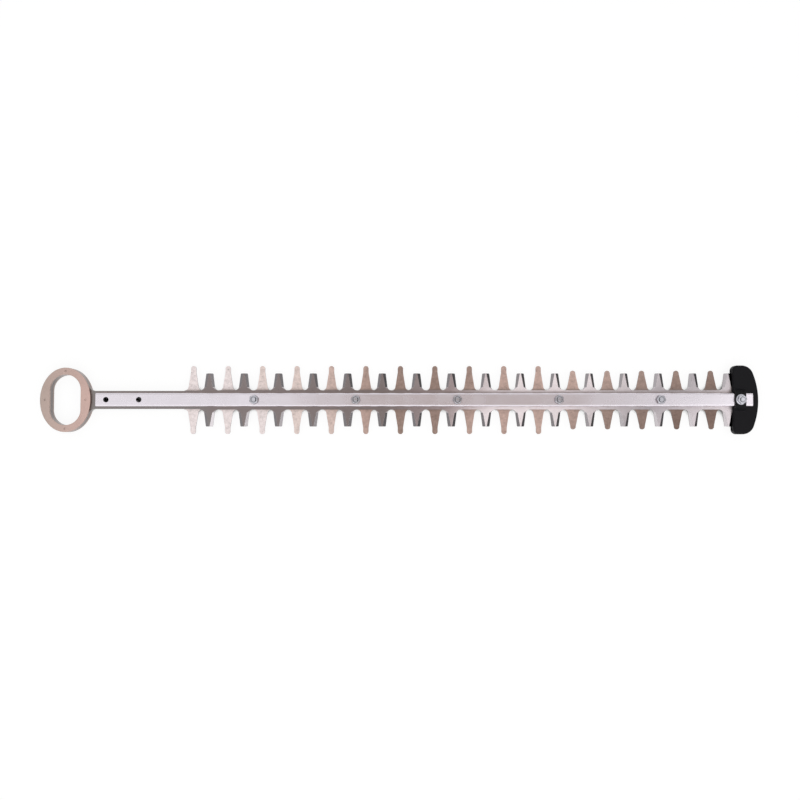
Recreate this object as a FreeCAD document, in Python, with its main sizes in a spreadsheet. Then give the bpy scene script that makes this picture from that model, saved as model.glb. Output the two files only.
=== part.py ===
import FreeCAD, Part
import math
import os
from collections import namedtuple
from types import SimpleNamespace

import Sketcher
from FreeCAD import Vector

# Double-sided blade of a hedge trimmer. Two toothed steel blades lie on each other under a guide bar
# and slide lengthways on sleeved bolts. A cam in each oval eye drives them, and a guard covers the tip.
# X runs along the blade from the eyes to the tip, Y across it, Z up. The part lies on its bolt heads.

# Driving dimensions in millimetres and degrees: alias, value, what it measures
SIZES = [
    ("eye_x", -336.9, "centre of the eyes, from the middle of the whole length"),
    ("eye_width", 50.8, "eye across X, outside"),
    ("eye_height", 65.0, "eye across Y, outside"),
    ("eye_hole_width", 31.0, "cam track in the eye across X"),
    ("eye_hole_height", 51.0, "cam track in the eye across Y"),
    ("ring_thick", 3.0, "ring welded to each eye"),
    ("dimple_diam", 1.8, "weld mark on the ring"),
    ("dimple_depth", 0.5, "weld mark on the ring"),
    ("blade_thick", 2.5, "plate of each blade"),
    ("run_gap", 0.1, "running gap above and below each blade"),
    ("shank_width", 18.2, "blade between eye and teeth"),
    ("neck_fillet", 7.0, "corner between eye and shank"),
    ("web_width", 19.4, "blade between its two rows of teeth"),
    ("web_lead", 8.5, "web ahead of the first tooth's centre"),
    ("web_tail", 12.0, "web past the last tooth's centre"),
    ("tooth_pitch", 35.0, "from tooth to tooth"),
    ("eye_to_teeth", 128.0, "eye centre to the lower blade's first tooth"),
    ("upper_lead", 16.6, "lower blade's first tooth to the upper blade's first"),
    ("root_fillet", 4.0, "corner between tooth and web"),
    ("upper_teeth", 16, "teeth in a row of the upper blade"),
    ("upper_reach", 26.9, "middle of the blade to the flat tip"),
    ("upper_tip_width", 7.1, "upper tooth across its tip"),
    ("upper_tip_corner", 0.8, "corner of the flat tip"),
    ("upper_flank_angle", 7.1, "lean of the upper tooth's flank"),
    ("long_teeth", 11, "long teeth in a row of the lower blade"),
    ("long_reach", 34.6, "middle of the blade to the round tip"),
    ("long_shoulder", 28.0, "middle of the blade to the parallel tip"),
    ("long_tip_width", 5.4, "long tooth across its tip"),
    ("long_flank_angle", 9.2, "lean of the long tooth's flank"),
    ("stub_teeth", 5, "shorter teeth in a row of the lower blade"),
    ("stub_reach", 29.8, "middle of the blade to the round tip"),
    ("stub_shoulder", 26.5, "middle of the blade to the parallel tip"),
    ("stub_tip_width", 5.4, "shorter tooth across its tip"),
    ("stub_flank_angle", 11.9, "lean of the shorter tooth's flank"),
    ("upper_bevel", 3.1, "ground bevel across the upper tooth's face at its tip"),
    ("lower_bevel", 2.2, "ground bevel across a lower tooth's face at its tip"),
    ("root_bevel", 2.1, "ground bevel where the root fillet begins"),
    ("bevel_slope", 31.8, "lean of the bevel from the blade's face"),
    ("bevel_overlap", 0.8, "full bevel past the start of the root fillet"),
    ("bevel_runout", 2.2, "length in which the bevel ends in the root fillet"),
    ("travel_back", 12.5, "blade travel away from the tip"),
    ("travel_forward", 5.0, "blade travel towards the tip"),
    ("slot_spare", 0.5, "slot past the end of the travel"),
    ("slot_clear", 0.3, "slot beside the sleeve"),
    ("sleeve_outer", 8.0, "spacer sleeve in the slots"),
    ("bolt_hole", 5.2, "hole for a blade bolt"),
    ("bolt_diam", 4.9, "blade bolt over its thread"),
    ("thread_clear", 0.05, "nut beside the bolt"),
    ("hex_across", 8.0, "bolt heads and nuts across flats"),
    ("head_height", 3.5, "bolt head"),
    ("nut_height", 4.0, "nut"),
    ("bolt_end", 1.2, "bolt standing out of its nut"),
    ("washer_outer", 15.0, "washer under the lower blade"),
    ("washer_thick", 1.2, "washer under the lower blade"),
    ("eye_to_bar", 6.0, "eye to the guide bar's end"),
    ("bar_length", 661.0, "guide bar"),
    ("bar_width", 13.4, "guide bar"),
    ("bar_thick", 6.0, "guide bar"),
    ("bar_edge", 1.6, "round along the bar's upper edges"),
    ("mount_first", 10.6, "bar's end to the first mounting hole"),
    ("mount_pitch", 33.0, "between the mounting holes"),
    ("mount_hole", 5.5, "mounting hole"),
    ("bolt_first", 159.6, "bar's end to the first blade bolt"),
    ("bolt_pitch", 102.1, "between blade bolts"),
    ("tip_bolt_back", 12.9, "tip bolt to the bar's far end"),
    ("guard_beyond", 6.8, "guard past the bar's far end"),
    ("guard_length", 26.0, "guard along X"),
    ("guard_width", 69.6, "guard along Y"),
    ("guard_bow", 75.0, "radius of the guard's front"),
    ("guard_back_corner", 5.0, "guard's corners towards the eyes"),
    ("guard_front_corner", 12.0, "guard's corners at the front"),
    ("guard_edge", 2.0, "round along the guard's upper and lower edges"),
    ("guard_wall", 3.2, "guard's side walls"),
    ("guard_roof", 3.0, "guard's roof over the blades"),
    ("guard_gap", 0.7, "guard's floor and roof clear of the upper blade"),
    ("bar_clear", 0.15, "guard beside the bar"),
    ("strap_length", 10.6, "strap over the bar along X"),
    ("strap_foot", 23.0, "strap across Y at its foot"),
    ("strap_top", 14.6, "strap across Y at its top"),
    ("strap_thick", 2.8, "strap above the bar"),
    ("strap_edge", 0.8, "round along the strap's upper edges"),
    ("flange_diam", 10.6, "flange of the tip nut"),
    ("flange_thick", 1.2, "flange of the tip nut"),
]
BLADE_BOLTS = 5
MOUNT_HOLES = 2
OVERRUN = 1.0

# Numbers that a sketch uses for its own origin, its axes and an edge's points
ROOT = -1
X_LINE = -1
Y_LINE = -2
START = 1
END = 2
CENTRE = 3


class Measure:
    """A length as a formula over the sheet's cells, with its present value."""

    def __init__(self, text, value):
        self.text = text
        self.value = value

    def __add__(self, other):
        other = measure(other)
        return Measure(f"({self.text} + {other.text})", self.value + other.value)

    def __sub__(self, other):
        other = measure(other)
        return Measure(f"({self.text} - {other.text})", self.value - other.value)

    def __mul__(self, other):
        other = measure(other)
        return Measure(f"({self.text} * {other.text})", self.value * other.value)

    def __truediv__(self, other):
        other = measure(other)
        return Measure(f"({self.text} / {other.text})", self.value / other.value)

    def __neg__(self):
        return Measure(f"(-{self.text})", -self.value)


def measure(number):
    """A plain number as a Measure, so that both kinds can stand in one formula."""
    if isinstance(number, Measure):
        return number
    return Measure(repr(float(number)), float(number))


def tangent(angle):
    """Tangent of an angle that is given in degrees."""
    return Measure(f"tan({angle.text} * 1 deg)", math.tan(math.radians(angle.value)))


def cosine(angle):
    """Cosine of an angle that is given in degrees."""
    return Measure(f"cos({angle.text} * 1 deg)", math.cos(math.radians(angle.value)))


def write_sheet(doc):
    """Puts the driving dimensions into the sheet and gives them back by alias."""
    sheet = doc.addObject("Spreadsheet::Sheet", "Sizes")
    cells = SimpleNamespace()
    for row, (alias, value, note) in enumerate(SIZES, start=1):
        sheet.set(f"A{row}", alias)
        sheet.set(f"B{row}", str(value))
        sheet.setAlias(f"B{row}", alias)
        sheet.set(f"C{row}", note)
        setattr(cells, alias, Measure(f"Sizes.{alias}", float(value)))
    doc.recompute()
    return cells


doc = FreeCAD.newDocument("hedge_trimmer_blade")
cell = write_sheet(doc)
ZERO = measure(0)

# Heights of the stack, from the floor up
LOWER_Z = cell.head_height + cell.washer_thick + cell.run_gap
UPPER_Z = LOWER_Z + cell.blade_thick + cell.run_gap
UPPER_TOP = UPPER_Z + cell.blade_thick
BAR_Z = UPPER_TOP + cell.run_gap
BAR_TOP = BAR_Z + cell.bar_thick
STRAP_TOP = BAR_TOP + cell.strap_thick

# Places along X
BAR_START = cell.eye_x + cell.eye_width / 2 + cell.eye_to_bar
BAR_END = BAR_START + cell.bar_length
TIP_BOLT_X = BAR_END - cell.tip_bolt_back
GUARD_START = BAR_END + cell.guard_beyond - cell.guard_length
LOWER_FIRST = cell.eye_to_teeth
UPPER_FIRST = LOWER_FIRST + cell.upper_lead

# Half widths that several pieces share
WEB_HALF = cell.web_width / 2
SLOT_HALF = cell.sleeve_outer / 2 + cell.slot_clear
TOOTH_FOOT = (WEB_HALF + SLOT_HALF) / 2
HALF_CORNERS = cell.hex_across / math.sqrt(3)


def datum(body, role):
    """One of the body's own origin planes or axes."""
    return next(o for o in body.Origin.OriginFeatures if o.Role == role)


def new_body(name, x=ZERO, z=ZERO):
    """An empty body at its place along X and its height."""
    body = doc.addObject("PartDesign::Body", name)
    body.Label = name
    body.setExpression("Placement.Base.x", x.text)
    body.setExpression("Placement.Base.z", z.text)
    return body


def new_sketch(body, name, plane="XY_Plane", along=None, lift=None):
    """A sketch on one of the body's planes, moved along it or lifted off it."""
    sketch = body.newObject("Sketcher::SketchObject", f"{body.Name}_{name}")
    sketch.AttachmentSupport = (datum(body, plane), [""])
    sketch.MapMode = "FlatFace"
    if along is not None:
        sketch.setExpression("AttachmentOffset.Base.x", along.text)
    if lift is not None:
        sketch.setExpression("AttachmentOffset.Base.z", lift.text)
    return sketch


def bind(sketch, kind, refs, length, unit=""):
    """Adds a dimension to the sketch and ties it to its formula."""
    start = math.radians(length.value) if unit else length.value
    index = sketch.addConstraint(Sketcher.Constraint(kind, *refs, start))
    sketch.setExpression(f"Constraints[{index}]", length.text + unit)


def tie(sketch, kind, *refs):
    """Adds a rule with no dimension to the sketch."""
    sketch.addConstraint(Sketcher.Constraint(kind, *refs))


def pin_along(sketch, kind, axis, edge, point, length):
    """Fixes a point's distance from the origin in one direction, either side of it."""
    if length.value == 0:
        tie(sketch, "PointOnObject", edge, point, axis)
    elif length.value > 0:
        bind(sketch, kind, (ROOT, START, edge, point), length)
    else:
        bind(sketch, kind, (edge, point, ROOT, START), -length)


def pin_x(sketch, edge, point, x):
    pin_along(sketch, "DistanceX", Y_LINE, edge, point, x)


def pin_y(sketch, edge, point, y):
    pin_along(sketch, "DistanceY", X_LINE, edge, point, y)


def line(sketch, start, end):
    return sketch.addGeometry(Part.LineSegment(Vector(*start, 0), Vector(*end, 0)), False)


def arc(sketch, centre, radius, first, last):
    """An arc that turns left from the first angle to the last, in degrees."""
    whole = Part.Circle(Vector(*centre, 0), Vector(0, 0, 1), radius)
    return sketch.addGeometry(Part.ArcOfCircle(whole, math.radians(first), math.radians(last)), False)


def circle(sketch, x, y, diameter):
    shape = Part.Circle(Vector(x.value, y.value, 0), Vector(0, 0, 1), diameter.value / 2)
    edge = sketch.addGeometry(shape, False)
    pin_x(sketch, edge, CENTRE, x)
    pin_y(sketch, edge, CENTRE, y)
    bind(sketch, "Diameter", (edge,), diameter)


def polygon(sketch, points):
    """A closed run of lines through points that are all fixed."""
    values = [(x.value, y.value) for x, y in points]
    following = values[1:] + values[:1]
    edges = [line(sketch, p, q) for p, q in zip(values, following)]
    for edge, after in zip(edges, edges[1:] + edges[:1]):
        tie(sketch, "Coincident", edge, END, after, START)
    for edge, (x, y) in zip(edges, points):
        pin_x(sketch, edge, START, x)
        pin_y(sketch, edge, START, y)


def rectangle(sketch, low_x, high_x, half_y):
    polygon(sketch, [(low_x, -half_y), (high_x, -half_y), (high_x, half_y), (low_x, half_y)])


def hexagon(sketch, half_corners):
    """A regular hexagon about the origin with two corners on the X axis."""
    radius = half_corners.value
    guide = sketch.addGeometry(Part.Circle(Vector(0, 0, 0), Vector(0, 0, 1), radius), True)
    corners = [(radius * math.cos(a), radius * math.sin(a)) for a in [k * math.pi / 3 for k in range(6)]]
    edges = [line(sketch, p, q) for p, q in zip(corners, corners[1:] + corners[:1])]
    tie(sketch, "Coincident", guide, CENTRE, ROOT, START)
    bind(sketch, "Radius", (guide,), half_corners)
    for edge, after in zip(edges, edges[1:] + edges[:1]):
        tie(sketch, "Coincident", edge, END, after, START)
        tie(sketch, "PointOnObject", edge, START, guide)
    for edge in edges[1:]:
        tie(sketch, "Equal", edges[0], edge)
    tie(sketch, "PointOnObject", edges[0], START, X_LINE)


def obround(sketch, low, high, radius, upright=False):
    """A slot with round ends about two centres on the X axis, or on the Y axis if upright."""
    turn = 90 if upright else 0
    unit = (0, 1) if upright else (1, 0)
    side = (-radius.value * unit[1], radius.value * unit[0])
    first = [u * low.value for u in unit]
    last = [u * high.value for u in unit]
    left = arc(sketch, first, radius.value, 90 + turn, 270 + turn)
    right = arc(sketch, last, radius.value, turn - 90, turn + 90)
    upper = line(sketch, (last[0] + side[0], last[1] + side[1]), (first[0] + side[0], first[1] + side[1]))
    under = line(sketch, (first[0] - side[0], first[1] - side[1]), (last[0] - side[0], last[1] - side[1]))
    tie(sketch, "Tangent", upper, END, left, START)
    tie(sketch, "Tangent", left, END, under, START)
    tie(sketch, "Tangent", under, END, right, START)
    tie(sketch, "Tangent", right, END, upper, START)
    tie(sketch, "Equal", left, right)
    bind(sketch, "Radius", (left,), radius)
    pin = pin_y if upright else pin_x
    for edge, place in ((left, low), (right, high)):
        tie(sketch, "PointOnObject", edge, CENTRE, Y_LINE if upright else X_LINE)
        pin(sketch, edge, CENTRE, place)


def eye_outline(sketch):
    """The oval of an eye with the cam track in it."""
    half_x = cell.eye_width.value / 2
    half_y = cell.eye_height.value / 2
    ellipse = Part.Ellipse(Vector(0, half_y, 0), Vector(-half_x, 0, 0), Vector(0, 0, 0))
    oval = sketch.addGeometry(ellipse, False)
    sketch.exposeInternalGeometry(oval)
    long_axis = oval + 1
    short_axis = oval + 2
    tie(sketch, "Coincident", oval, CENTRE, ROOT, START)
    tie(sketch, "Vertical", long_axis)
    bind(sketch, "Distance", (long_axis,), cell.eye_height)
    bind(sketch, "Distance", (short_axis,), cell.eye_width)
    straight = (cell.eye_hole_height - cell.eye_hole_width) / 2
    obround(sketch, -straight, straight, cell.eye_hole_width / 2, upright=True)


def extrude(kind, sketch, length, reverse=False):
    """Pads or pockets the sketch by a length."""
    body = sketch.getParentGeoFeatureGroup()
    feature = body.newObject(f"PartDesign::{kind}", f"{sketch.Name}_{kind.lower()}")
    feature.Profile = sketch
    feature.setExpression("Length", length.text)
    feature.Reversed = reverse
    body.Tip = feature
    return feature


def pad(sketch, length):
    return extrude("Pad", sketch, length)


def pocket_up(sketch, depth):
    """Cuts from the sketch towards +Z, and stops if nothing was cut."""
    body = sketch.getParentGeoFeatureGroup()
    doc.recompute()
    before = body.Shape.Volume
    feature = extrude("Pocket", sketch, depth, reverse=True)
    doc.recompute()
    if not body.Shape.Volume < before:
        raise RuntimeError(f"{sketch.Name} cuts nothing")
    return feature


def repeat(body, name, originals, pitch, count, mirrored=False):
    """Repeats features along X, and over the XZ plane too if mirrored."""
    row = body.newObject("PartDesign::LinearPattern", f"{body.Name}_{name}_row")
    row.Direction = (datum(body, "X_Axis"), [""])
    row.setExpression("Length", (pitch * (count - 1)).text)
    row.setExpression("Occurrences", count.text)
    if mirrored:
        flip = body.newObject("PartDesign::Mirrored", f"{body.Name}_{name}_flip")
        flip.MirrorPlane = (datum(body, "XZ_Plane"), [""])
        whole = body.newObject("PartDesign::MultiTransform", f"{body.Name}_{name}_rows")
        whole.Originals = originals
        whole.Transformations = [flip, row]
        body.Tip = whole
    else:
        row.Originals = originals
        body.Tip = row
    doc.recompute()


def soften(body, name, kind, size_name, size, chosen):
    """Fillets or chamfers the tip shape's edges that the test chooses."""
    doc.recompute()
    base = body.Tip
    names = [f"Edge{i}" for i, edge in enumerate(base.Shape.Edges, start=1) if chosen(edge)]
    if not names:
        raise RuntimeError(f"{body.Name} has no edge for {name}")
    feature = body.newObject(f"PartDesign::{kind}", f"{body.Name}_{name}")
    feature.Base = (base, names)
    feature.setExpression(size_name, size.text)
    body.Tip = feature
    doc.recompute()


def close(a, b):
    return abs(a - b) < 1e-4


def upright(edge):
    """Tells an edge that runs along Z."""
    box = edge.BoundBox
    return close(box.XLength, 0) and close(box.YLength, 0)


# Teeth

# reach and shoulder are measured from the blade's middle line, half is half the tip's width, bevel is
# the bevel's width at the tip, and a tooth with no corner has a fully round tip
Tooth = namedtuple("Tooth", "reach shoulder half angle bevel corner")
UPPER_TOOTH = Tooth(cell.upper_reach, cell.upper_reach, cell.upper_tip_width / 2,
                    cell.upper_flank_angle, cell.upper_bevel, cell.upper_tip_corner)
LONG_TOOTH = Tooth(cell.long_reach, cell.long_shoulder, cell.long_tip_width / 2,
                   cell.long_flank_angle, cell.lower_bevel, None)
STUB_TOOTH = Tooth(cell.stub_reach, cell.stub_shoulder, cell.stub_tip_width / 2,
                   cell.stub_flank_angle, cell.lower_bevel, None)
Rows = namedtuple("Rows", "name tooth count")


def flank_x(tooth, y):
    """Distance of the leaning flank from the tooth's middle line at a height y."""
    return tooth.half + (tooth.shoulder - y) * tangent(tooth.angle)


def tooth_side(sketch, tooth, side):
    """Root fillet, flank and foot line of one side. Gives the flank and the foot line."""
    lean = math.radians(tooth.angle.value)
    radius = cell.root_fillet.value
    middle_y = WEB_HALF.value + radius
    middle_x = flank_x(tooth, measure(middle_y)).value + radius / math.cos(lean)
    touch = (middle_x - radius * math.cos(lean), middle_y - radius * math.sin(lean))
    top = (flank_x(tooth, tooth.shoulder).value, tooth.shoulder.value)
    if tooth.corner is not None:
        shift = tooth.corner.value * (1 - math.sin(lean))
        top = (top[0] + shift * math.tan(lean), top[1] - shift)
    if side < 0:
        fillet = arc(sketch, (-middle_x, middle_y), radius, -90, -tooth.angle.value)
        foot, upper = START, END
    else:
        fillet = arc(sketch, (middle_x, middle_y), radius, 180 + tooth.angle.value, 270)
        foot, upper = END, START
    flank = line(sketch, (side * touch[0], touch[1]), (side * top[0], top[1]))
    down = line(sketch, (side * middle_x, WEB_HALF.value), (side * middle_x, TOOTH_FOOT.value))
    tie(sketch, "Tangent", fillet, upper, flank, START)
    tie(sketch, "Vertical", fillet, foot, fillet, CENTRE)
    pin_y(sketch, fillet, foot, WEB_HALF)
    bind(sketch, "Radius", (fillet,), cell.root_fillet)
    upward = measure(90) + tooth.angle if side > 0 else measure(90) - tooth.angle
    bind(sketch, "Angle", (flank,), upward, unit=" * 1 deg")
    tie(sketch, "Coincident", fillet, foot, down, START)
    tie(sketch, "Vertical", down)
    pin_y(sketch, down, END, TOOTH_FOOT)
    return flank, down


def flat_tip(sketch, tooth, flanks):
    """A straight tip with a small round corner at each flank."""
    flat = tooth.half - tooth.corner * (measure(1) / cosine(tooth.angle) - tangent(tooth.angle))
    radius = tooth.corner.value
    lean = tooth.angle.value
    middle_y = tooth.reach.value - radius
    left = arc(sketch, (-flat.value, middle_y), radius, 90, 180 - lean)
    right = arc(sketch, (flat.value, middle_y), radius, lean, 90)
    tip = line(sketch, (-flat.value, tooth.reach.value), (flat.value, tooth.reach.value))
    tie(sketch, "Tangent", flanks[0], END, left, END)
    tie(sketch, "Tangent", left, START, tip, START)
    tie(sketch, "Tangent", tip, END, right, END)
    tie(sketch, "Tangent", right, START, flanks[1], END)
    tie(sketch, "Horizontal", tip)
    for corner in (left, right):
        bind(sketch, "Radius", (corner,), tooth.corner)
    pin_y(sketch, tip, START, tooth.reach)
    pin_x(sketch, tip, START, -flat)
    pin_x(sketch, tip, END, flat)


def round_tip(sketch, tooth, flanks):
    """Two parallel sides that end in a half circle."""
    half = tooth.half.value
    middle = tooth.reach - tooth.half
    tip = arc(sketch, (0, middle.value), half, 0, 180)
    for flank, side, point in ((flanks[0], -1, END), (flanks[1], 1, START)):
        neck = line(sketch, (side * half, tooth.shoulder.value), (side * half, middle.value))
        tie(sketch, "Coincident", flank, END, neck, START)
        tie(sketch, "Tangent", neck, END, tip, point)
        tie(sketch, "Vertical", neck)
        pin_x(sketch, neck, START, tooth.half * side)
        pin_y(sketch, neck, START, tooth.shoulder)
    pin_y(sketch, tip, CENTRE, middle)


def tooth_pad(body, name, tooth, first):
    """The tooth on the +Y side at its first place along X."""
    sketch = new_sketch(body, name, along=first)
    flanks, feet = zip(*[tooth_side(sketch, tooth, side) for side in (-1, 1)])
    if tooth.corner is None:
        round_tip(sketch, tooth, flanks)
    else:
        flat_tip(sketch, tooth, flanks)
    ends = [sketch.getPoint(foot, END) for foot in feet]
    base = line(sketch, (ends[0].x, ends[0].y), (ends[1].x, ends[1].y))
    tie(sketch, "Coincident", base, START, feet[0], END)
    tie(sketch, "Coincident", base, END, feet[1], END)
    return pad(sketch, cell.blade_thick)


def bevel_section(body, name, first, x, y, width, side, face):
    """A triangle across the tooth at a height y, which takes off the corner of flank and face."""
    depth = width * tangent(cell.bevel_slope)
    outer = (x + width / 4) * side
    inner = (x - width - width / 4) * side
    if face > 0:
        outside = cell.blade_thick + depth / 4
        inside = cell.blade_thick - depth - depth / 4
    else:
        outside = -depth / 4
        inside = depth + depth / 4
    sketch = new_sketch(body, name, "XZ_Plane", along=first, lift=-y)
    polygon(sketch, [(inner, outside), (outer, inside), (outer, outside)])
    return sketch


def bevel(body, name, tooth, first, side, face):
    """The ground bevel of one flank, which narrows from the tip and runs out in the root fillet."""
    full = WEB_HALF + cell.root_fillet - cell.bevel_overlap
    end = full - cell.bevel_runout
    past = tooth.reach + OVERRUN
    stations = [(past, tooth.half, tooth.bevel), (tooth.shoulder, tooth.half, tooth.bevel)]
    if tooth.corner is not None:
        stations = [(past, flank_x(tooth, past), tooth.bevel)]
    stations.append((full, flank_x(tooth, full), cell.root_bevel))
    # The last section stands outside the fillet
    stations.append((end, flank_x(tooth, end) + cell.root_bevel + cell.bevel_overlap, cell.root_bevel))
    sections = [bevel_section(body, f"{name}_{i}", first, x, y, width, side, face)
                for i, (y, x, width) in enumerate(stations)]
    cut = body.newObject("PartDesign::SubtractiveLoft", f"{body.Name}_{name}_cut")
    cut.Profile = sections[0]
    cut.Sections = sections[1:]
    cut.Ruled = True
    body.Tip = cut
    return cut


def tooth_rows(body, rows, first, face):
    """Both rows of one kind of tooth, with the bevels on the upper face or, for -1, the lower one."""
    made = [tooth_pad(body, rows.name, rows.tooth, first)]
    for side, flank in ((-1, "left"), (1, "right")):
        made.append(bevel(body, f"{rows.name}_{flank}", rows.tooth, first, side, face))
    repeat(body, rows.name, made, cell.tooth_pitch, rows.count, mirrored=True)


# Blades

def travel_slot(body, name, place):
    """A slot that lets the blade travel past a sleeve, which stands at a place along X."""
    sketch = new_sketch(body, name)
    low = place - cell.travel_forward - cell.slot_spare
    high = place + cell.travel_back + cell.slot_spare
    obround(sketch, low, high, SLOT_HALF)
    return pocket_up(sketch, cell.blade_thick)


def blade(name, z, first, teeth, face, fork=None):
    """A blade about its eye: eye plate, shank, web, slots and rows of teeth."""
    body = new_body(name, cell.eye_x, z)
    eye = new_sketch(body, "eye")
    eye_outline(eye)
    pad(eye, cell.blade_thick)
    shank = new_sketch(body, "shank")
    inside_ring = (cell.eye_hole_width + cell.eye_width) / 4
    rectangle(shank, inside_ring, first, cell.shank_width / 2)
    pad(shank, cell.blade_thick)
    end = first - cell.tooth_pitch + cell.web_tail
    for rows in teeth:
        end = end + cell.tooth_pitch * rows.count
    web = new_sketch(body, "web")
    rectangle(web, first - cell.web_lead, end, WEB_HALF)
    pad(web, cell.blade_thick)
    neck_reach = cell.eye_width.value / 2 + cell.neck_fillet.value
    soften(body, "neck", "Fillet", "Radius", cell.neck_fillet,
           lambda e: upright(e) and close(abs(e.CenterOfMass.y), cell.shank_width.value / 2)
           and e.CenterOfMass.x < neck_reach)
    to_bar = BAR_START - cell.eye_x
    mount = travel_slot(body, "mount_slot", to_bar + cell.mount_first)
    repeat(body, "mount_slots", [mount], cell.mount_pitch, measure(MOUNT_HOLES))
    bolt = travel_slot(body, "bolt_slot", to_bar + cell.bolt_first)
    repeat(body, "bolt_slots", [bolt], cell.bolt_pitch, measure(BLADE_BOLTS))
    if fork is not None:
        sketch = new_sketch(body, "fork")
        rectangle(sketch, fork - cell.travel_forward - cell.slot_spare - SLOT_HALF, end + OVERRUN, SLOT_HALF)
        pocket_up(sketch, cell.blade_thick)
    place = first
    for rows in teeth:
        tooth_rows(body, rows, place, face)
        place = place + cell.tooth_pitch * rows.count
    return body


def eye_ring(name, z, marked_up):
    """The ring that thickens an eye, with four weld marks on its open face."""
    body = new_body(name, cell.eye_x, z)
    sketch = new_sketch(body, "oval")
    eye_outline(sketch)
    pad(sketch, cell.ring_thick)
    lift = cell.ring_thick - cell.dimple_depth if marked_up else ZERO
    marks = new_sketch(body, "marks", lift=lift)
    side = (cell.eye_width + cell.eye_hole_width) / 4
    top = (cell.eye_height + cell.eye_hole_height) / 4
    for x, y in ((side, ZERO), (-side, ZERO), (ZERO, top), (ZERO, -top)):
        circle(marks, x, y, cell.dimple_diam)
    pocket_up(marks, cell.dimple_depth)
    return body


# Guide bar

def guide_bar():
    """A flat bar with rounded upper edges and its three groups of holes."""
    body = new_body("guide_bar", BAR_START, BAR_Z)
    sketch = new_sketch(body, "outline")
    rectangle(sketch, ZERO, cell.bar_length, cell.bar_width / 2)
    pad(sketch, cell.bar_thick)
    soften(body, "edges", "Fillet", "Radius", cell.bar_edge,
           lambda e: close(e.CenterOfMass.z, cell.bar_thick.value) and close(e.BoundBox.YLength, 0))
    mount = new_sketch(body, "mount_hole")
    circle(mount, cell.mount_first, ZERO, cell.mount_hole)
    mount_cut = pocket_up(mount, cell.bar_thick)
    repeat(body, "mount_holes", [mount_cut], cell.mount_pitch, measure(MOUNT_HOLES))
    bolt = new_sketch(body, "bolt_hole")
    circle(bolt, cell.bolt_first, ZERO, cell.bolt_hole)
    bolt_cut = pocket_up(bolt, cell.bar_thick)
    repeat(body, "bolt_holes", [bolt_cut], cell.bolt_pitch, measure(BLADE_BOLTS))
    tip = new_sketch(body, "tip_hole")
    circle(tip, cell.bar_length - cell.tip_bolt_back, ZERO, cell.bolt_hole)
    pocket_up(tip, cell.bar_thick)
    return body


# Fasteners

def disc(name, x, z, outer, inner, height):
    """A washer or sleeve."""
    body = new_body(name, x, z)
    sketch = new_sketch(body, "ring")
    circle(sketch, ZERO, ZERO, outer)
    circle(sketch, ZERO, ZERO, inner)
    pad(sketch, height)
    return body


def hex_bolt(name, x, length):
    """A bolt that stands on its hexagon head."""
    body = new_body(name, x)
    head = new_sketch(body, "head")
    hexagon(head, HALF_CORNERS)
    pad(head, cell.head_height)
    shank = new_sketch(body, "shank")
    circle(shank, ZERO, ZERO, cell.bolt_diam)
    pad(shank, length)
    return body


def hex_nut(name, x, z, flanged=False):
    """A hexagon nut, on a round flange if flanged."""
    body = new_body(name, x, z)
    bore = cell.bolt_diam + cell.thread_clear * 2
    if flanged:
        flange = new_sketch(body, "flange")
        circle(flange, ZERO, ZERO, cell.flange_diam)
        circle(flange, ZERO, ZERO, bore)
        pad(flange, cell.flange_thick)
    sketch = new_sketch(body, "flats")
    hexagon(sketch, HALF_CORNERS)
    circle(sketch, ZERO, ZERO, bore)
    pad(sketch, cell.nut_height)
    return body


# Tip guard

def guard_outline(sketch, start, end, half, bow):
    """Three straight sides and a bowed front."""
    front = math.sqrt(bow.value ** 2 - half.value ** 2) + end.value - bow.value
    turn = math.degrees(math.asin(half.value / bow.value))
    back = line(sketch, (start.value, half.value), (start.value, -half.value))
    under = line(sketch, (start.value, -half.value), (front, -half.value))
    bowed = arc(sketch, (end.value - bow.value, 0), bow.value, -turn, turn)
    upper = line(sketch, (front, half.value), (start.value, half.value))
    for edge, after in ((back, under), (under, bowed), (bowed, upper), (upper, back)):
        tie(sketch, "Coincident", edge, END, after, START)
    for point, y in ((START, half), (END, -half)):
        pin_x(sketch, back, point, start)
        pin_y(sketch, back, point, y)
    tie(sketch, "Horizontal", under)
    tie(sketch, "Horizontal", upper)
    tie(sketch, "PointOnObject", bowed, CENTRE, X_LINE)
    pin_x(sketch, bowed, CENTRE, end - bow)
    bind(sketch, "Radius", (bowed,), bow)


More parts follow.
